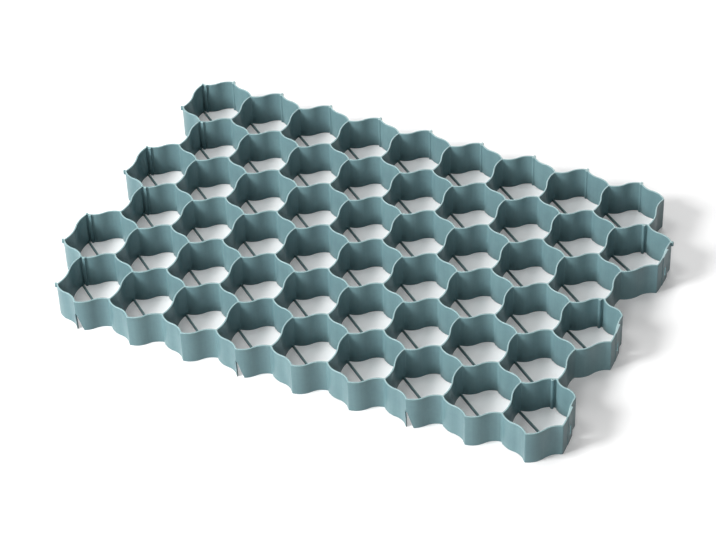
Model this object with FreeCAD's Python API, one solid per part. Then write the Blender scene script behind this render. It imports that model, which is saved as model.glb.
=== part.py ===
import FreeCAD, Part
import math
import os

# Nine cell pitches, six row pitches, and the height, in millimetres.
LAYING_LENGTH = 594.0
LAYING_WIDTH = 420.0
HEIGHT = 40.0

# Honeycomb of cells: rows run along X, odd rows sit half a cell to the left.
CELLS_PER_ROW = 9
ROWS = 6
SIDE_WALL = 51.1

# Walls: thickness, and how far each half bows off the straight line between its corners.
WALL = 1.8
WAVE = 2.2

# Right end walls of the even rows: how far their corners lie in, and back, from the honeycomb's.
END_FAR_IN = 6.3
END_NEAR_IN = 2.7
END_NEAR_BACK = 7.0
END_WAVE = 0.8

# Gap left open under the walls that run from the far corner to the right one.
DRAIN_GAP_HEIGHT = 1.2
DRAIN_GAP_END = 4.5

# Bar across the floor of each cell, beside the line from its far left corner to its near right one.
BAR_WIDTH = 2.0
BAR_HEIGHT = 3.0
BAR_SHIFT = 3.0

# Windows low in three near corners of the front row.
WINDOW_CELLS = (0, 3, 6)
WINDOW_HEIGHT = 23.0
WINDOW_BASE_RIGHT = 7.5
WINDOW_BASE_LEFT = 0.6
WINDOW_TOP_LEFT = 2.5
WINDOW_TOP_RIGHT = 1.0
WINDOW_TOP_FALL = 1.5

# Fins on the back corners that enter the windows of the next grid.
FIN_THICKNESS = 2.0
FIN_REACH = 5.0
FIN_CLEARANCE = 1.0
FIN_BEAD_RADIUS = 1.6

# Slots in the right end walls, each in a straight raised pad, and the hooks that enter them.
SLOT_WIDTH = 4.0
SLOT_HEIGHT = 12.5
SLOT_BOTTOM = 8.5
PAD_WIDTH = 16.0
PAD_RISE = 1.2
HOOK_CLEARANCE = 0.4
HOOK_REACH = 7.0
HOOK_LIP = 1.2

# Ribs, in the far corners of the back row and beside those of the even rows' right end cells.
RIB_RADIUS = 1.9
RIB_SET_BACK = 1.7
END_RIB_REACH = 5.0
RIB_BORE_RADIUS = 0.7
RIB_BORE_DEPTH = 8.0
KNOB_RADIUS = 1.5
KNOB_HEIGHT = 5.0

# Raised strips beside the far left corners of the left end cells, with a groove on each side.
STRIP_START = 2.0
STRIP_WIDTH = 3.0
STRIP_RISE = 1.6
GROOVE_WIDTH = 2.4
GROOVE_DEPTH = 0.8

# Eyelets on the outermost end corners.
EYELET_RADIUS = 1.6
EYELET_BORE_RADIUS = 0.7
EYELET_HEIGHT = 5.0
EYELET_WEB = 0.1
EYELET_RIGHT_ROW = 4

# How far a cutter runs past what it cuts.
PAST = 1.0

PITCH = LAYING_LENGTH / CELLS_PER_ROW
ROW_PITCH = LAYING_WIDTH / ROWS
SIDE_REACH = SIDE_WALL / 2
CORNER_REACH = ROW_PITCH - SIDE_REACH

FAR, FAR_RIGHT, NEAR_RIGHT, NEAR, NEAR_LEFT, FAR_LEFT = range(6)


def vec(x, y, z=0.0):
    return FreeCAD.Vector(x, y, z)


def unit(vector):
    return vector / vector.Length


def right_of(direction):
    return unit(vec(direction.y, -direction.x))


def cell_centre(row, column):
    return vec((column - 0.5 * (row % 2)) * PITCH, row * ROW_PITCH)


def cell_walls(row, column):
    """The walls of a cell, clockwise, each as its start, end and wave.

    The right end wall of an even row is drawn in, unless it carries the eyelet.
    """
    half = PITCH / 2
    steps = (vec(0, CORNER_REACH), vec(half, SIDE_REACH), vec(half, -SIDE_REACH),
             vec(0, -CORNER_REACH), vec(-half, -SIDE_REACH), vec(-half, SIDE_REACH))
    corners = [cell_centre(row, column) + step for step in steps]
    waves = [WAVE] * 6
    if row % 2 == 0 and column == CELLS_PER_ROW - 1:
        waves[FAR_RIGHT] = END_WAVE
        corners[NEAR_RIGHT] += vec(0, END_NEAR_BACK)
        if row != EYELET_RIGHT_ROW:
            corners[FAR_RIGHT] -= vec(END_FAR_IN, 0)
            corners[NEAR_RIGHT] -= vec(END_NEAR_IN, 0)
    return list(zip(corners, corners[1:] + corners[:1], waves))


class WavedWall:
    """Two tangent arcs from corner to corner, moved to the left by a shift.

    The first arc bows to the right and the second to the left, so the wall is the same
    when it is walked from its other end.
    """

    def __init__(self, start, end, wave, shift=0.0):
        side = right_of(end - start)
        half = (end - start).Length / 2
        radius = (half * half / 4 + wave * wave) / (2 * wave)
        middle = (start + end) * 0.5
        self.start, self.end = start, end
        self.first_centre = (start + middle) * 0.5 - side * (radius - wave)
        self.last_centre = (middle + end) * 0.5 + side * (radius - wave)
        self.first_radius = radius - shift
        self.last_radius = radius + shift
        self.middle = self.first_centre + unit(middle - self.first_centre) * self.first_radius

    def place(self, distance):
        """The point and the direction on the first arc, at a distance from its start."""
        arm = self.start - self.first_centre
        turn = FreeCAD.Rotation(vec(0, 0, 1), math.degrees(distance / self.first_radius))
        arm = turn.multVec(arm)
        return self.first_centre + unit(arm) * self.first_radius, right_of(arm) * -1.0


def arc_edge(start, end, centre, radius):
    between = centre + unit((start + end) * 0.5 - centre) * radius
    return Part.Arc(start, between, end).toShape()


def meeting_point(wall, following):
    """Where a wall's last arc crosses the next wall's first arc, next to their corner."""
    first, second = wall.last_centre, following.first_centre
    gap = second - first
    reach = (gap.Length ** 2 + wall.last_radius ** 2 - following.first_radius ** 2) / (2 * gap.Length)
    rise = math.sqrt(wall.last_radius ** 2 - reach ** 2)
    foot = first + unit(gap) * reach
    choices = [foot + right_of(gap) * rise, foot - right_of(gap) * rise]
    return min(choices, key=lambda point: (point - wall.end).Length)


def loop_of(plan, shift):
    """Closed loop of walls that follow one another, moved left by the shift."""
    walls = [WavedWall(*wall, shift) for wall in plan]
    corners = [meeting_point(wall, after) for wall, after in zip(walls, walls[1:] + walls[:1])]
    edges = []
    for index, wall in enumerate(walls):
        edges.append(arc_edge(corners[index - 1], wall.middle, wall.first_centre, wall.first_radius))
        edges.append(arc_edge(wall.middle, corners[index], wall.last_centre, wall.last_radius))
    return Part.Wire(edges)


def key(point):
    return round(point.x, 3), round(point.y, 3)


def outline_walls(cells):
    """The walls, in order, that belong to one cell only."""
    walls = {}
    for cell in cells:
        for wall in cell:
            start, end = key(wall[0]), key(wall[1])
            if (end, start) in walls:
                del walls[(end, start)]
            else:
                walls[(start, end)] = wall
    following = {start: walls[(start, end)] for start, end in walls}
    begin = min(following)
    plan, at = [], begin
    while not plan or at != begin:
        plan.append(following[at])
        at = key(following[at][1])
    return plan


def box_on(point, direction, before, after, right, left, low, high):
    """A box along a direction from a point: its reach behind, ahead, to each side, and its heights."""
    box = Part.makeBox(before + after, right + left, high - low, vec(-before, -right, low))
    angle = math.degrees(math.atan2(direction.y, direction.x))
    box.rotate(vec(0, 0), vec(0, 0, 1), angle)
    box.translate(vec(point.x, point.y))
    return box


def round_bar(point, radius, low, high):
    return Part.makeCylinder(radius, high - low, vec(point.x, point.y, low))


def floor_bar(cell):
    """The bar of one cell, ended by the middles of the walls that it meets."""
    start, end = cell[FAR_LEFT][0], cell[NEAR_RIGHT][0]
    length = (end - start).Length
    bar = box_on(start, end - start, length, 2 * length,
                 BAR_SHIFT + BAR_WIDTH / 2, BAR_WIDTH / 2 - BAR_SHIFT, 0.0, BAR_HEIGHT)
    return bar.common(Part.Face(loop_of(cell, 0.0)).extrude(vec(0, 0, BAR_HEIGHT)))


def drain_gap(start, end):
    length = (end - start).Length
    reach = WAVE + WALL
    return box_on(start, end - start, -DRAIN_GAP_END, length - DRAIN_GAP_END,
                  reach, reach, -PAST, DRAIN_GAP_HEIGHT)


def window(point):
    profile = [(-WINDOW_TOP_LEFT, WINDOW_HEIGHT),
               (WINDOW_TOP_RIGHT, WINDOW_HEIGHT - WINDOW_TOP_FALL),
               (WINDOW_BASE_RIGHT, 0.0), (WINDOW_BASE_RIGHT, -PAST),
               (-WINDOW_BASE_LEFT, -PAST), (-WINDOW_BASE_LEFT, WINDOW_HEIGHT / 2)]
    loop = Part.makePolygon([vec(x, 0, z) for x, z in profile + profile[:1]])
    prism = Part.Face(loop).extrude(vec(0, WINDOW_BASE_RIGHT + 4 * WALL))
    prism.translate(vec(point.x, point.y - 2 * WALL))
    return prism


def fin(point):
    high = WINDOW_HEIGHT / 2 - FIN_CLEARANCE
    blade = box_on(point, vec(0, 1), 0.0, FIN_REACH, FIN_THICKNESS / 2, FIN_THICKNESS / 2, 0.0, high)
    return [blade, round_bar(point + vec(0, FIN_REACH), FIN_BEAD_RADIUS, 0.0, high)]


def slot_pad(cell):
    """Fills the end wall out to a face along the straight line between its corners."""
    start, end, wave = cell[FAR_RIGHT]
    middle = (start + end) * 0.5
    half = unit(end - start) * (PAD_WIDTH / 2)
    face = middle - right_of(end - start) * (WALL / 2 + PAD_RISE)
    inner, _ = WavedWall(start, end, wave).place((end - start).Length / 2 - PAD_WIDTH / 2)
    plan = [inner, middle, start + end - inner, face + half, face - half, inner]
    return Part.Face(Part.makePolygon(plan)).extrude(vec(0, 0, HEIGHT))


def slot(cell):
    start, end, _ = cell[FAR_RIGHT]
    reach = WALL + PAD_RISE
    return box_on((start + end) * 0.5, end - start, SLOT_WIDTH / 2, SLOT_WIDTH / 2,
                  reach, reach, SLOT_BOTTOM, SLOT_BOTTOM + SLOT_HEIGHT)


def hook(cell):
    start, end, _ = cell[NEAR_LEFT]
    middle, half = (start + end) * 0.5, SLOT_WIDTH / 2 - HOOK_CLEARANCE
    low, high = SLOT_BOTTOM + HOOK_CLEARANCE, SLOT_BOTTOM + SLOT_HEIGHT - HOOK_CLEARANCE
    arm = box_on(middle, end - start, half, half, 0.0, HOOK_REACH, low + HOOK_LIP, high)
    lip = box_on(middle, end - start, half, half, HOOK_LIP - HOOK_REACH, HOOK_REACH,
                 low, low + 2 * HOOK_LIP)
    return [arm, lip]


def back_rib_axis(cell):
    return cell[FAR][0] - vec(0, RIB_SET_BACK)


def end_rib_axis(cell):
    start, end, wave = cell[FAR_LEFT]
    point, direction = WavedWall(end, start, wave).place(END_RIB_REACH)
    return point - right_of(direction) * RIB_SET_BACK


def rib(axis):
    return round_bar(axis, RIB_RADIUS, 0.0, HEIGHT)


def rib_bore(axis):
    return round_bar(axis, RIB_BORE_RADIUS, HEIGHT - RIB_BORE_DEPTH, HEIGHT + PAST)


def knob(point, outward):
    return round_bar(point + outward * (WALL / 2), KNOB_RADIUS, HEIGHT - KNOB_HEIGHT, HEIGHT)


def strip(cell):
    point, direction = WavedWall(*cell[FAR_LEFT]).place(STRIP_START + STRIP_WIDTH / 2)
    return box_on(point, direction, STRIP_WIDTH / 2, STRIP_WIDTH / 2,
                  WALL / 2 + STRIP_RISE, 0.0, 0.0, HEIGHT)


def strip_grooves(cell):
    wall = WavedWall(*cell[FAR_LEFT])
    depth = WALL / 2 - GROOVE_DEPTH
    cuts = []
    for distance in (STRIP_START - GROOVE_WIDTH / 2, STRIP_START + STRIP_WIDTH + GROOVE_WIDTH / 2):
        point, direction = wall.place(distance)
        cuts.append(box_on(point, direction, GROOVE_WIDTH / 2, GROOVE_WIDTH / 2,
                           WALL + STRIP_RISE, -depth, BAR_HEIGHT, HEIGHT + PAST))
    return cuts


def eyelet_axis(point, outward):
    return point + outward * (WALL / 2 + EYELET_BORE_RADIUS + EYELET_WEB)


def eyelet(point, outward):
    return round_bar(eyelet_axis(point, outward), EYELET_RADIUS, HEIGHT - EYELET_HEIGHT, HEIGHT)


def eyelet_bore(point, outward):
    return round_bar(eyelet_axis(point, outward), EYELET_BORE_RADIUS,
                     HEIGHT - EYELET_HEIGHT - PAST, HEIGHT + PAST)


def honeycomb(cells):
    openings = [Part.Face(loop_of(cell, -WALL / 2)) for cell in cells]
    outline = Part.Face(loop_of(outline_walls(cells), WALL / 2))
    return outline.cut(openings).Faces[0].extrude(vec(0, 0, HEIGHT))


def build():
    cells = {(row, column): cell_walls(row, column)
             for row in range(ROWS) for column in range(CELLS_PER_ROW)}
    back, last = ROWS - 1, CELLS_PER_ROW - 1
    left_out, right_out = vec(-1, 0), vec(1, 0)

    added = [floor_bar(cell) for cell in cells.values()]
    gap_walls = {}
    for cell in cells.values():
        for number in (FAR, NEAR):
            start, end, _ = cell[number]
            gap_walls[key((start + end) * 0.5)] = (start, end)
    removed = [drain_gap(start, end) for start, end in gap_walls.values()]

    for column in WINDOW_CELLS:
        removed.append(window(cells[0, column][NEAR][0]))
        added += fin(cells[back, column][FAR_RIGHT][0])
    for column in range(CELLS_PER_ROW):
        cell = cells[back, column]
        added += [rib(back_rib_axis(cell)), knob(cell[FAR][0], vec(0, 1))]
        removed.append(rib_bore(back_rib_axis(cell)))
    for row in range(ROWS):
        left, right = cells[row, 0], cells[row, last]
        added.append(strip(left))
        removed += strip_grooves(left)
        if row % 2 == 0:
            added += hook(left) + [slot_pad(right), rib(end_rib_axis(right))]
            removed += [slot(right), rib_bore(end_rib_axis(right))]
        else:
            added.append(knob(left[FAR_LEFT][0], unit(vec(-1, 1))))

    eyelets = [(cells[row, 0][NEAR_LEFT][0], left_out)
               for row in range(ROWS) if row % 2 or row == 0]
    eyelets.append((cells[EYELET_RIGHT_ROW, last][FAR_RIGHT][0], right_out))
    added += [eyelet(point, outward) for point, outward in eyelets]
    removed += [eyelet_bore(point, outward) for point, outward in eyelets]

    body = honeycomb(list(cells.values())).fuse(added).cut(removed).removeSplitter()
    box = body.BoundBox
    body.translate(vec(-box.Center.x, -box.Center.y, -box.ZMin))
    return body


grid = build()
if len(grid.Solids) != 1 or not grid.isValid():
    raise SystemExit("the grid is not one valid solid")
grid = grid.Solids[0]
os.makedirs("parts", exist_ok=True)
grid.exportStep("parts/grass_paver_grid.step")
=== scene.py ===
import math

import bmesh
import bpy
from mathutils import Matrix, Vector
from mathutils.geometry import delaunay_2d_cdt


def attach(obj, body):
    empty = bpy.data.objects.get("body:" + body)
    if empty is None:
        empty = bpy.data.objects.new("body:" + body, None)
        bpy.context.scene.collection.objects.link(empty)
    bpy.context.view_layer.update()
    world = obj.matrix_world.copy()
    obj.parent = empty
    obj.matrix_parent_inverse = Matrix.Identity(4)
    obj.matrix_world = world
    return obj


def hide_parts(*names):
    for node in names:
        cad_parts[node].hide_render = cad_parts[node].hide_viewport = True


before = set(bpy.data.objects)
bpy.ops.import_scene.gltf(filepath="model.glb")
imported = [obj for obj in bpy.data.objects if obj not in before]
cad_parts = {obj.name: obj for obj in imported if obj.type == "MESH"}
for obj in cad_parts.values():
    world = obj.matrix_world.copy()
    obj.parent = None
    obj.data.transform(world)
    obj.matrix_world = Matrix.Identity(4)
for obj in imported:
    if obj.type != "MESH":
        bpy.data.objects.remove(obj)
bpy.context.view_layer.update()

# The grid's sizes, in millimetres, which are MM metres each.
MM = 0.001
LAYING_LENGTH = 594.0
LAYING_WIDTH = 420.0
HEIGHT = 40.0
CELLS_PER_ROW = 9
ROWS = 6
SIDE_WALL = 51.1
WALL = 1.8
WAVE = 2.2
# Where the centre of the front left cell lies in the frame.
FIRST_CELL = (-247.5, -175.6819)

# Right end walls of the even rows: how far their corners lie in, and back, from the honeycomb's.
END_FAR_IN = 6.3
END_NEAR_IN = 2.7
END_NEAR_BACK = 7.0
END_WAVE = 0.8
EYELET_RIGHT_ROW = 4

# Roundings of the openings' corners, the outline's corners and the rim, and the bevel at the foot.
OPENING_ROUND = 1.6
OUTLINE_ROUND = 1.4
RIM_ROUND = 0.6
FOOT_BEVEL = 0.25

# Bar across the floor of each cell.
BAR_WIDTH = 2.0
BAR_HEIGHT = 3.0
BAR_SHIFT = 3.0
BAR_START = 1.0
BAR_END = 2.8
BAR_RIM = 0.5

# Drain gaps, windows and fins.
DRAIN_GAP_HEIGHT = 1.2
DRAIN_GAP_END = 4.5
WINDOW_CELLS = (0, 3, 6)
WINDOW_HEIGHT = 23.0
WINDOW_BEND_HEIGHT = WINDOW_HEIGHT / 2
WINDOW_BASE_RIGHT = 7.5
WINDOW_BASE_LEFT = 0.6
WINDOW_TOP_LEFT = 2.5
WINDOW_TOP_RIGHT = 1.0
WINDOW_TOP_FALL = 1.5
FIN_THICKNESS = 2.0
FIN_REACH = 5.0
FIN_CLEARANCE = 1.0
FIN_BEAD_RADIUS = 1.6

# Slots, their pads, and hooks.
SLOT_WIDTH = 4.0
SLOT_HEIGHT = 12.5
SLOT_BOTTOM = 8.5
PAD_WIDTH = 16.0
PAD_RISE = 1.2
HOOK_CLEARANCE = 0.4
HOOK_REACH = 7.0
HOOK_LIP = 1.2

# Ribs and knobs in the corners, strips between grooves, eyelets.
RIB_RADIUS = 1.9
RIB_SET_BACK = 1.7
END_RIB_REACH = 5.0
RIB_BORE_RADIUS = 0.7
RIB_BORE_DEPTH = 8.0
KNOB_RADIUS = 1.5
KNOB_HEIGHT = 5.0
STRIP_START = 2.0
STRIP_WIDTH = 3.0
STRIP_RISE = 1.6
GROOVE_WIDTH = 2.4
GROOVE_DEPTH = 0.8
EYELET_RADIUS = 1.6
EYELET_BORE_RADIUS = 0.7
EYELET_HEIGHT = 5.0
EYELET_WEB = 0.1
DETAIL_RIM = 0.35
# How far a cut goes past the face that it opens.
PAST = 1.0

# How finely round shapes are drawn.
ARC_STEPS = 8
CORNER_STEPS = 4
RIM_STEPS = 3
POST_SIDES = 24
# Faces that meet at more than this many degrees keep a sharp edge.
SHARP_ANGLE = 38
# Decimals that tell corners apart, and how close points have to be to be one in a cap.
CORNER_DECIMALS = 3
CAP_TOLERANCE = 1e-6

PITCH = LAYING_LENGTH / CELLS_PER_ROW
ROW_PITCH = LAYING_WIDTH / ROWS
SIDE_REACH = SIDE_WALL / 2
CORNER_REACH = ROW_PITCH - SIDE_REACH
BACK_ROW = ROWS - 1
LAST_COLUMN = CELLS_PER_ROW - 1
FAR, FAR_RIGHT, NEAR_RIGHT, NEAR, NEAR_LEFT, FAR_LEFT = range(6)


# Plan geometry: a honeycomb whose walls are S curves.

def right_of(direction):
    return Vector((direction.y, -direction.x)).normalized()


def cell_centre(row, column):
    return Vector(((column - 0.5 * (row % 2)) * PITCH, row * ROW_PITCH))


def cell_walls(row, column):
    """The walls of a cell, clockwise, each as its start, end and wave.

    The right end wall of an even row is nearly straight, and drawn in unless it carries the eyelet.
    """
    half = PITCH / 2
    steps = ((0, CORNER_REACH), (half, SIDE_REACH), (half, -SIDE_REACH),
             (0, -CORNER_REACH), (-half, -SIDE_REACH), (-half, SIDE_REACH))
    corners = [cell_centre(row, column) + Vector(step) for step in steps]
    waves = [WAVE] * 6
    if row % 2 == 0 and column == LAST_COLUMN:
        waves[FAR_RIGHT] = END_WAVE
        corners[NEAR_RIGHT] += Vector((0, END_NEAR_BACK))
        if row != EYELET_RIGHT_ROW:
            corners[FAR_RIGHT] -= Vector((END_FAR_IN, 0))
            corners[NEAR_RIGHT] -= Vector((END_NEAR_IN, 0))
    return list(zip(corners, corners[1:] + corners[:1], waves))


class WavedWall:
    """Two tangent arcs from corner to corner, moved to the left by a shift."""

    def __init__(self, start, end, wave, shift=0.0):
        side = right_of(end - start)
        half = (end - start).length / 2
        radius = (half * half / 4 + wave * wave) / (2 * wave)
        middle = (start + end) / 2
        self.start, self.end = start, end
        self.first_centre = (start + middle) / 2 - side * (radius - wave)
        self.last_centre = (middle + end) / 2 + side * (radius - wave)
        self.first_radius = radius - shift
        self.last_radius = radius + shift
        self.middle = on_circle(self.first_centre, self.first_radius, middle)

    def place(self, distance):
        """The point and the direction on the first arc of an unmoved wall, at a distance along it."""
        turn = Matrix.Rotation(distance / self.first_radius, 2)
        arm = turn @ (self.start - self.first_centre)
        return self.first_centre + arm, -right_of(arm)


def on_circle(centre, radius, toward):
    return centre + (toward - centre).normalized() * radius


def meeting_point(wall, following):
    """Where a wall's last arc crosses the next wall's first arc, next to their corner."""
    gap = following.first_centre - wall.last_centre
    reach = (gap.length ** 2 + wall.last_radius ** 2 - following.first_radius ** 2) / (2 * gap.length)
    rise = math.sqrt(wall.last_radius ** 2 - reach ** 2)
    foot = wall.last_centre + gap.normalized() * reach
    choices = (foot + right_of(gap) * rise, foot - right_of(gap) * rise)
    return min(choices, key=lambda point: (point - wall.end).length)


def arc_points(centre, start, end, steps):
    """Points along the shorter arc, its end left out."""
    arm = start - centre
    sweep = -arm.angle_signed(end - centre)
    return [centre + Matrix.Rotation(sweep * step / steps, 2) @ arm for step in range(steps)]


def loop_points(plan, base, rounding, shift):
    """Points round walls that follow one another and are moved left by the shift.

    The round corners keep the centres that they have at the base shift.
    """
    following = plan[1:] + plan[:1]
    turns = []
    for wall, after in zip(plan, following):
        turns_right = (wall[1] - wall[0]).cross(after[1] - after[0]) < 0
        inset = base - rounding if turns_right else base + rounding
        turns.append(meeting_point(WavedWall(*wall, inset), WavedWall(*after, inset)))
    points = []
    for index, (wall, after) in enumerate(zip(plan, following)):
        wall, after = WavedWall(*wall, shift), WavedWall(*after, shift)
        turn = turns[index]
        enter = on_circle(wall.first_centre, wall.first_radius, turns[index - 1])
        leave = on_circle(wall.last_centre, wall.last_radius, turn)
        enter_next = on_circle(after.first_centre, after.first_radius, turn)
        points += arc_points(wall.first_centre, enter, wall.middle, ARC_STEPS)
        points += arc_points(wall.last_centre, wall.middle, leave, ARC_STEPS)
        points += arc_points(turn, leave, enter_next, CORNER_STEPS)
    return points


def key(point):
    """The same pair for every cell that shares a point."""
    return round(point.x, CORNER_DECIMALS), round(point.y, CORNER_DECIMALS)


def outline_walls(cells):
    """The walls, in order, that belong to one cell only."""
    walls = {}
    for cell in cells:
        for wall in cell:
            start, end = key(wall[0]), key(wall[1])
            if (end, start) in walls:
                del walls[(end, start)]
            else:
                walls[(start, end)] = wall
    following = {start: walls[(start, end)] for start, end in walls}
    begin = min(following)
    plan, at = [], begin
    while not plan or at != begin:
        plan.append(following[at])
        at = key(following[at][1])
    return plan


# The bare grid.

def levels(low, high, foot, rim):
    """Heights up a solid, each with how far its sides draw back there: bevelled foot, round rim."""
    quarter = [math.radians(90 * step / RIM_STEPS) for step in range(RIM_STEPS + 1)]
    return ([(low, foot), (low + foot, 0.0)]
            + [(high - rim + rim * math.sin(a), rim * (1 - math.cos(a))) for a in quarter])


def cap(openings, outline):
    """Triangles over the plan between the clockwise loops, as indices into the joined points."""
    points, edges, loop_of = [], [], []
    for number, loop in enumerate(openings + [outline]):
        first = len(points)
        points += loop
        edges += [(first + n, first + (n + 1) % len(loop)) for n in range(len(loop))]
        loop_of += [number] * len(loop)
    inside = 1
    _, _, faces, origin, _, _ = delaunay_2d_cdt(points, edges, [], inside, CAP_TOLERANCE)
    kept = []
    for face in faces:
        a, b, c = sorted(origin[vertex][0] for vertex in face)
        one_opening = loop_of[a] == loop_of[b] == loop_of[c] < len(openings)
        clockwise = (points[b] - points[a]).cross(points[c] - points[a]) < 0
        if not (one_opening and clockwise):
            kept.append([a, b, c])
    return kept


def honeycomb(cells):
    """Mesh of the bare grid: the walls of every cell, with round rims."""
    around = outline_walls(cells)
    rings = []
    for height, back in levels(0.0, HEIGHT, FOOT_BEVEL, RIM_ROUND):
        openings = [loop_points(cell, -WALL / 2, OPENING_ROUND, back - WALL / 2) for cell in cells]
        outline = loop_points(around, WALL / 2, OUTLINE_ROUND, WALL / 2 - back)
        rings.append((height, openings, outline))
    verts = [(point.x, point.y, height) for height, openings, outline in rings
             for loop in openings + [outline] for point in loop]
    per_ring = len(verts) // len(rings)
    top = (len(rings) - 1) * per_ring
    faces = cap(*rings[0][1:]) + [[top + vertex for vertex in face] for face in cap(*rings[-1][1:])]
    for level in range(len(rings) - 1):
        first = level * per_ring
        for loop in rings[0][1] + [rings[0][2]]:
            count = len(loop)
            for n in range(count):
                a, b = first + n, first + (n + 1) % count
                faces.append([a, b, b + per_ring, a + per_ring])
            first += count
    return new_object("grid", verts, faces)


def new_object(name, verts, faces):
    mesh = bpy.data.meshes.new(name)
    mesh.from_pydata(verts, [], faces)
    closed = bmesh.new()
    closed.from_mesh(mesh)
    bmesh.ops.recalc_face_normals(closed, faces=closed.faces)
    closed.to_mesh(mesh)
    closed.free()
    thing = bpy.data.objects.new(name, mesh)
    bpy.context.scene.collection.objects.link(thing)
    return thing


# Solids that are added to the grid or cut from it.

def sections(low, high, rim):
    """The levels of a solid with a sharp foot, and with a sharp top too where it has no rim."""
    return levels(low, high, 0.0, rim) if rim else [(low, 0.0), (high, 0.0)]


class Solids:
    """A set of closed solids, none of which overlap, that is added to the grid or cut from it."""

    def __init__(self, operation):
        self.operation = operation
        self.verts, self.faces = [], []

    def stack(self, rings):
        """A solid through rings of as many points each."""
        first, count = len(self.verts), len(rings[0])
        self.verts += [tuple(point) for ring in rings for point in ring]
        self.faces.append([first + n for n in range(count)])
        self.faces.append([first + (len(rings) - 1) * count + n for n in range(count)])
        for level in range(len(rings) - 1):
            for n in range(count):
                a, b = first + level * count + n, first + level * count + (n + 1) % count
                self.faces.append([a, b, b + count, a + count])

    def box(self, point, direction, before, after, right, left, low, high, rim=0.0):
        """A box along a direction: its reach from the point to each side, and its heights."""
        ahead, side = direction.normalized(), right_of(direction)
        rings = []
        for height, back in sections(low, high, rim):
            plan = [point - ahead * (before - back) - side * (left - back),
                    point + ahead * (after - back) - side * (left - back),
                    point + ahead * (after - back) + side * (right - back),
                    point - ahead * (before - back) + side * (right - back)]
            rings.append([(p.x, p.y, height) for p in plan])
        self.stack(rings)

    def post(self, point, radius, low, high, rim=0.0):
        """An upright round post."""
        rings = []
        for height, back in sections(low, high, rim):
            reach = radius - back
            rings.append([(point.x + reach * math.cos(math.tau * n / POST_SIDES),
                           point.y + reach * math.sin(math.tau * n / POST_SIDES), height)
                          for n in range(POST_SIDES)])
        self.stack(rings)

    def apply(self, grid):
        """Adds the solids to the grid's mesh, or cuts them from it."""
        tool = new_object("tool", self.verts, self.faces)
        modifier = grid.modifiers.new("solids", "BOOLEAN")
        modifier.operation, modifier.solver, modifier.object = self.operation, "MANIFOLD", tool
        bpy.context.view_layer.update()
        made = grid.evaluated_get(bpy.context.evaluated_depsgraph_get())
        mesh = bpy.data.meshes.new_from_object(made)
        grid.modifiers.clear()
        grid.data = mesh
        bpy.data.objects.remove(tool)


# Sub-parts. What would overlap in one set is in another, and the sets are applied in this order.
added = Solids("UNION")
added_after = Solids("UNION")
gaps = Solids("DIFFERENCE")
cuts = Solids("DIFFERENCE")
bores = Solids("DIFFERENCE")


def floor_bar(cell):
    """Bar beside the line from a cell's far left corner to its near right one."""
    start, end = cell[FAR_LEFT][0], cell[NEAR_RIGHT][0]
    added.box(start, end - start, -BAR_START, (end - start).length - BAR_END,
              BAR_SHIFT + BAR_WIDTH / 2, BAR_WIDTH / 2 - BAR_SHIFT, 0.0, BAR_HEIGHT, BAR_RIM)


def drain_gaps(cells):
    """A gap under each wall on the far right or near left of a cell, shared walls once."""
    walls = {}
    for cell in cells:
        for number in (FAR, NEAR):
            start, end, _ = cell[number]
            walls[key((start + end) / 2)] = (start, end)
    for start, end in walls.values():
        gaps.box(start, end - start, -DRAIN_GAP_END, (end - start).length - DRAIN_GAP_END,
                 WAVE + WALL, WAVE + WALL, -PAST, DRAIN_GAP_HEIGHT)


def window(corner):
    """Opening low in a near corner, with sloping sides, cut straight in from the front."""
    profile = [(-WINDOW_TOP_LEFT, WINDOW_HEIGHT), (WINDOW_TOP_RIGHT, WINDOW_HEIGHT - WINDOW_TOP_FALL),
               (WINDOW_BASE_RIGHT, 0.0), (WINDOW_BASE_RIGHT, -PAST),
               (-WINDOW_BASE_LEFT, -PAST), (-WINDOW_BASE_LEFT, WINDOW_BEND_HEIGHT)]
    front, behind = corner.y - 2 * WALL, corner.y + 2 * WALL + WINDOW_BASE_RIGHT
    cuts.stack([[(corner.x + x, y, z) for x, z in profile] for y in (front, behind)])


def fin(corner):
    """Fin with a beaded edge on the back, made to enter a neighbour's window."""
    top = WINDOW_BEND_HEIGHT - FIN_CLEARANCE
    added.box(corner, Vector((0, 1)), 0.0, FIN_REACH, FIN_THICKNESS / 2, FIN_THICKNESS / 2,
              0.0, top, DETAIL_RIM)
    added_after.post(corner + Vector((0, FIN_REACH)), FIN_BEAD_RADIUS, 0.0, top, DETAIL_RIM)


def rib(axis):
    """Round rib from foot to rim, with a bore in its top."""
    added.post(axis, RIB_RADIUS, 0.0, HEIGHT, DETAIL_RIM)
    bores.post(axis, RIB_BORE_RADIUS, HEIGHT - RIB_BORE_DEPTH, HEIGHT + PAST)


def end_rib(wall):
    """Rib in a right end cell, a little before the end of its far left wall."""
    start, end, wave = wall
    point, direction = WavedWall(end, start, wave).place(END_RIB_REACH)
    rib(point - right_of(direction) * RIB_SET_BACK)


def knob(corner, outward):
    """Small knob outside a corner, at the rim."""
    added_after.post(corner + outward * (WALL / 2), KNOB_RADIUS,
                     HEIGHT - KNOB_HEIGHT, HEIGHT, DETAIL_RIM)


def strip(wall):
    """Strip up the inner face of a left end cell's far left wall, between two grooves."""
    curve = WavedWall(*wall)
    point, direction = curve.place(STRIP_START + STRIP_WIDTH / 2)
    added.box(point, direction, STRIP_WIDTH / 2, STRIP_WIDTH / 2, WALL / 2 + STRIP_RISE, 0.0,
              0.0, HEIGHT, DETAIL_RIM)
    for distance in (STRIP_START - GROOVE_WIDTH / 2, STRIP_START + STRIP_WIDTH + GROOVE_WIDTH / 2):
        point, direction = curve.place(distance)
        cuts.box(point, direction, GROOVE_WIDTH / 2, GROOVE_WIDTH / 2, WALL + STRIP_RISE,
                 GROOVE_DEPTH - WALL / 2, BAR_HEIGHT, HEIGHT + PAST)


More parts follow.
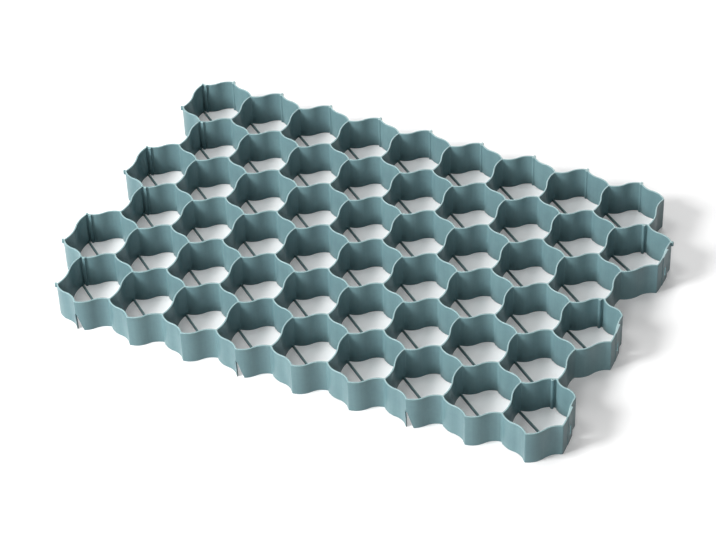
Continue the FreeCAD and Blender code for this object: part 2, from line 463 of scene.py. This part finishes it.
def slot(wall):
    """Slot through a right end wall, in a pad that stands out from it."""
    start, end, wave = wall
    middle, along = (start + end) / 2, (end - start).normalized()
    inner, _ = WavedWall(start, end, wave).place((end - start).length / 2 - PAD_WIDTH / 2)
    rings = []
    for height, back in sections(0.0, HEIGHT, DETAIL_RIM):
        face = middle - right_of(along) * (WALL / 2 + PAD_RISE - back)
        half = along * (PAD_WIDTH / 2 - back)
        plan = [inner, middle, start + end - inner, face + half, face - half]
        rings.append([(p.x, p.y, height) for p in plan])
    added.stack(rings)
    cuts.box(middle, along, SLOT_WIDTH / 2, SLOT_WIDTH / 2, WALL + PAD_RISE,
             WALL + PAD_RISE, SLOT_BOTTOM, SLOT_BOTTOM + SLOT_HEIGHT)


def hook(wall):
    """Hook on a left end wall, with a lip below its end, made to enter a neighbour's slot."""
    start, end, _ = wall
    middle, half = (start + end) / 2, SLOT_WIDTH / 2 - HOOK_CLEARANCE
    low = SLOT_BOTTOM + HOOK_CLEARANCE
    added.box(middle, end - start, half, half, 0.0, HOOK_REACH,
              low + HOOK_LIP, low + SLOT_HEIGHT - 2 * HOOK_CLEARANCE, DETAIL_RIM)
    added_after.box(middle, end - start, half, half, HOOK_LIP - HOOK_REACH,
                    HOOK_REACH, low, low + 2 * HOOK_LIP)


def eyelet(corner, outward):
    """Small ring outside a corner, at the rim, with a bore right through."""
    axis = corner + outward * (WALL / 2 + EYELET_BORE_RADIUS + EYELET_WEB)
    added_after.post(axis, EYELET_RADIUS, HEIGHT - EYELET_HEIGHT, HEIGHT, DETAIL_RIM)
    bores.post(axis, EYELET_BORE_RADIUS, HEIGHT - EYELET_HEIGHT - PAST, HEIGHT + PAST)


def place_sub_parts(cells):
    for cell in cells.values():
        floor_bar(cell)
    drain_gaps(cells.values())
    for column in WINDOW_CELLS:
        window(cells[0, column][NEAR][0])
        fin(cells[BACK_ROW, column][FAR_RIGHT][0])
    for column in range(CELLS_PER_ROW):
        far = cells[BACK_ROW, column][FAR][0]
        rib(far - Vector((0, RIB_SET_BACK)))
        knob(far, Vector((0, 1)))
    for row in range(ROWS):
        left, right = cells[row, 0], cells[row, LAST_COLUMN]
        strip(left[FAR_LEFT])
        if row % 2 == 0:
            end_rib(right[FAR_LEFT])
            slot(right[FAR_RIGHT])
            hook(left[NEAR_LEFT])
        else:
            knob(left[FAR_LEFT][0], Vector((-1, 1)).normalized())
    for row in range(ROWS):
        if row % 2 or row == 0:
            eyelet(cells[row, 0][NEAR_LEFT][0], Vector((-1, 0)))
    eyelet(cells[EYELET_RIGHT_ROW, LAST_COLUMN][FAR_RIGHT][0], Vector((1, 0)))


def build_grid():
    cells = {(row, column): cell_walls(row, column)
             for row in range(ROWS) for column in range(CELLS_PER_ROW)}
    place_sub_parts(cells)
    grid = honeycomb(list(cells.values()))
    for solids in (added, added_after, gaps, cuts, bores):
        solids.apply(grid)
    grid.data.transform(Matrix.Scale(MM, 4) @ Matrix.Translation((*FIRST_CELL, 0.0)))
    grid.data.shade_smooth()
    grid.data.set_sharp_from_angle(angle=math.radians(SHARP_ANGLE))
    weighted = grid.modifiers.new("weighted", "WEIGHTED_NORMAL")
    weighted.keep_sharp = True
    grid.name = "moulded_grid"
    return grid


# Looks, with lengths in metres. A noise is its scale, stretch, detail and roughness. A tint is its
# dark and light colours, and the noise values up to which it is dark and from which it is light.
WHITE = (1, 1, 1, 1)
EVEN = (1, 1, 1)
CLOUDY_NOISE = (14.0, EVEN, 3.0, 0.6)
MOTTLE_NOISE = (260.0, EVEN, 4.0, 0.7)
DRAW_NOISE = (1.0, (420, 420, 9), 3.0, 0.6)
PEEL_NOISE = (1300.0, EVEN, 2.0, 0.5)
CLOUDY_TINT = ((0.150, 0.262, 0.285, 1), (0.180, 0.306, 0.326, 1), 0.35, 0.68)
MOTTLE_TINT = ((0.78, 0.80, 0.82, 1), WHITE, 0.30, 0.60)
DRAW_TINT = ((0.80, 0.82, 0.84, 1), WHITE, 0.35, 0.65)
MOTTLE_SHARE = 0.35
DRAW_SHARE = 0.30
# Lighter colour, mixed onto the top of the walls as scuffs and onto every upward face as painted top
# light; the facings are where that painted top light starts and is full.
SCUFF_AND_TOP_LIGHT_COLOUR = (0.26, 0.40, 0.41, 1)
SCUFF_HEIGHTS = ((HEIGHT - 1.0) * MM, HEIGHT * MM)
PAINTED_TOP_LIGHT_FACINGS = (0.6, 0.9)
ROUGHNESSES = (0.30, 0.50)
PEEL_STRENGTH = 0.10
PEEL_DEPTH = 0.0004
DRAW_STRENGTH = 0.16
DRAW_DEPTH = 0.0006

WORLD_LIGHT = 0.11
LAMP_DISTANCE = 3.0
FLOOR_SIZE = 12.0
FLOOR_COLOUR = (0.80, 0.80, 0.80, 1)
FLOOR_BOUNCE_COLOUR = (0.12, 0.12, 0.12, 1)
FLOOR_GLOW_REACHES = (0.45, 1.40)
FLOOR_GLOWS = (0.20, 0.85)

# Sockets of a colour mix node, which go by number because their names repeat.
MIX_FIRST = 6
MIX_SECOND = 7
MIX_RESULT = 2


class Tree:
    """The nodes of a material or world, linked as they are added."""

    def __init__(self, owner):
        owner.use_nodes = True
        self.nodes, self.links = owner.node_tree.nodes, owner.node_tree.links

    def fill(self, node, inputs):
        """Gives each named input its value, or links it where that is another node's output."""
        for name, value in inputs.items():
            if isinstance(value, bpy.types.NodeSocket):
                self.links.new(value, node.inputs[name])
            else:
                node.inputs[name].default_value = value

    def add(self, kind, inputs, operation=None):
        node = self.nodes.new(kind)
        if operation:
            node.operation = operation
        self.fill(node, inputs)
        return node

    def ranged(self, value, source, target=(0.0, 1.0)):
        """A value moved from one range to another, and held within it."""
        inputs = {"Value": value, "From Min": source[0], "From Max": source[1],
                  "To Min": target[0], "To Max": target[1]}
        return self.add("ShaderNodeMapRange", inputs).outputs["Result"]

    def larger(self, first, second):
        return self.add("ShaderNodeMath", {0: first, 1: second}, "MAXIMUM").outputs[0]


def plastic_material():
    """Satin moulded plastic: mottled colour, draw marks up the walls, scuffs on rims, and painted top
    light on upward faces such as bar tops.
    """
    material = bpy.data.materials.new("moulded_plastic")
    tree = Tree(material)
    place = tree.add("ShaderNodeTexCoord", {}).outputs["Object"]

    def noise(scale, stretch, detail, roughness):
        point = tree.add("ShaderNodeMapping", {"Vector": place, "Scale": stretch}).outputs["Vector"]
        texture = tree.add("ShaderNodeTexNoise", {"Vector": point, "Scale": scale,
                                                  "Detail": detail, "Roughness": roughness})
        return texture.outputs["Fac"]

    def tint(factor, dark, light, start, stop):
        ramp = tree.add("ShaderNodeValToRGB", {"Fac": factor})
        ends = ramp.color_ramp.elements
        ends[0].position, ends[1].position = start, stop
        ends[0].color, ends[1].color = dark, light
        return ramp.outputs["Color"]

    def mix(kind, factor, first, second):
        node = tree.nodes.new("ShaderNodeMix")
        node.data_type, node.blend_type = "RGBA", kind
        tree.fill(node, {"Factor": factor, MIX_FIRST: first, MIX_SECOND: second})
        return node.outputs[MIX_RESULT]

    mottle, draw = noise(*MOTTLE_NOISE), noise(*DRAW_NOISE)
    colour = tint(noise(*CLOUDY_NOISE), *CLOUDY_TINT)
    colour = mix("MULTIPLY", MOTTLE_SHARE, colour, tint(mottle, *MOTTLE_TINT))
    colour = mix("MULTIPLY", DRAW_SHARE, colour, tint(draw, *DRAW_TINT))

    # Rims are lightened by height as scuffs; upward faces, bar tops included, are lightened by their
    # facing as painted top light.
    height = tree.add("ShaderNodeSeparateXYZ", {"Vector": place}).outputs["Z"]
    normal = tree.add("ShaderNodeNewGeometry", {}).outputs["Normal"]
    upward = tree.add("ShaderNodeSeparateXYZ", {"Vector": normal}).outputs["Z"]
    scuffed_or_top_lit = tree.larger(tree.ranged(height, SCUFF_HEIGHTS), tree.ranged(upward, PAINTED_TOP_LIGHT_FACINGS))
    colour = mix("MIX", scuffed_or_top_lit, colour, SCUFF_AND_TOP_LIGHT_COLOUR)

    peel = tree.add("ShaderNodeBump", {"Strength": PEEL_STRENGTH, "Distance": PEEL_DEPTH,
                                       "Height": noise(*PEEL_NOISE)})
    lines = tree.add("ShaderNodeBump", {"Strength": DRAW_STRENGTH, "Distance": DRAW_DEPTH,
                                        "Height": draw, "Normal": peel.outputs["Normal"]})
    tree.fill(tree.nodes["Principled BSDF"],
              {"Base Color": colour, "Roughness": tree.ranged(mottle, (0.0, 1.0), ROUGHNESSES),
               "Normal": lines.outputs["Normal"]})
    return material


def floor_material():
    """Pale floor that glows more with its distance, and throws little light up into the cells."""
    material = bpy.data.materials.new("floor")
    tree = Tree(material)
    tree.nodes.clear()
    place = tree.add("ShaderNodeTexCoord", {}).outputs["Object"]
    reach = tree.add("ShaderNodeVectorMath", {0: place}, "LENGTH").outputs["Value"]
    strength = tree.ranged(reach, FLOOR_GLOW_REACHES, FLOOR_GLOWS)
    glow = tree.add("ShaderNodeEmission", {"Color": WHITE, "Strength": strength})
    pale = tree.add("ShaderNodeBsdfDiffuse", {"Color": FLOOR_COLOUR})
    shown = tree.add("ShaderNodeAddShader", {0: pale.outputs[0], 1: glow.outputs[0]})
    dim = tree.add("ShaderNodeBsdfDiffuse", {"Color": FLOOR_BOUNCE_COLOUR})
    rays = tree.add("ShaderNodeLightPath", {})
    seen = tree.larger(rays.outputs["Is Camera Ray"], rays.outputs["Is Glossy Ray"])
    choice = tree.add("ShaderNodeMixShader", {"Fac": seen, 1: dim.outputs[0], 2: shown.outputs[0]})
    tree.add("ShaderNodeOutputMaterial", {"Surface": choice.outputs[0]})
    return material


def studio_world():
    """Even light from all round; white to the camera."""
    world = bpy.data.worlds.new("studio")
    bpy.context.scene.world = world
    tree = Tree(world)
    tree.nodes.clear()
    light = tree.add("ShaderNodeBackground", {"Color": WHITE, "Strength": WORLD_LIGHT})
    white = tree.add("ShaderNodeBackground", {"Color": WHITE})
    seen = tree.add("ShaderNodeLightPath", {}).outputs["Is Camera Ray"]
    choice = tree.add("ShaderNodeMixShader", {"Fac": seen, 1: light.outputs[0], 2: white.outputs[0]})
    tree.add("ShaderNodeOutputWorld", {"Surface": choice.outputs[0]})


# Lamps and camera.

def direction_of(azimuth, elevation):
    """A direction seen from the grid; azimuth 0 is in front and 90 on the right."""
    turn, rise = math.radians(azimuth), math.radians(elevation)
    return Vector((math.sin(turn) * math.cos(rise), -math.cos(turn) * math.cos(rise), math.sin(rise)))


def lamp(name, azimuth, elevation, size, power):
    """A square lamp aimed at the grid."""
    toward = direction_of(azimuth, elevation)
    data = bpy.data.lights.new(name, "AREA")
    data.size, data.energy = size, power
    light = bpy.data.objects.new(name, data)
    light.location = toward * LAMP_DISTANCE
    light.rotation_euler = toward.to_track_quat("Z", "Y").to_euler()
    bpy.context.scene.collection.objects.link(light)


grid = build_grid()
grid.data.materials.clear()
grid.data.materials.append(plastic_material())
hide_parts("grass_paver_grid")
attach(grid, "root")

bpy.ops.mesh.primitive_plane_add(size=FLOOR_SIZE)
floor = bpy.context.object
floor.name = "floor"
floor.data.materials.append(floor_material())

studio_world()
lamp("key", azimuth=-40, elevation=35, size=1.0, power=116)
lamp("fill", azimuth=25, elevation=12, size=2.0, power=36)
lamp("top", azimuth=-75, elevation=72, size=1.0, power=20)
lamp("back", azimuth=195, elevation=30, size=1.5, power=46)

# The photograph's view of the grid, closer.
AZIMUTH = 26.6
ELEVATION = 39.35
ROLL = -2.3
DISTANCE = 2.507
AIM = Vector((0.009, -0.040, 0.030))
SENSOR_WIDTH = 36.0
FITTED_LENS = 74.9
ENLARGEMENT = 1.52

camera = bpy.data.objects.new("camera", bpy.data.cameras.new("camera"))
bpy.context.scene.collection.objects.link(camera)
back = direction_of(AZIMUTH, ELEVATION)
roll = Matrix.Rotation(math.radians(ROLL), 3, "Z").to_quaternion()
camera.location = AIM + back * DISTANCE
camera.rotation_mode = "QUATERNION"
camera.rotation_quaternion = back.to_track_quat("Z", "Y") @ roll
camera.data.sensor_width = SENSOR_WIDTH
camera.data.lens = FITTED_LENS * ENLARGEMENT
bpy.context.scene.camera = camera

bpy.context.scene.view_settings.view_transform = "Standard"
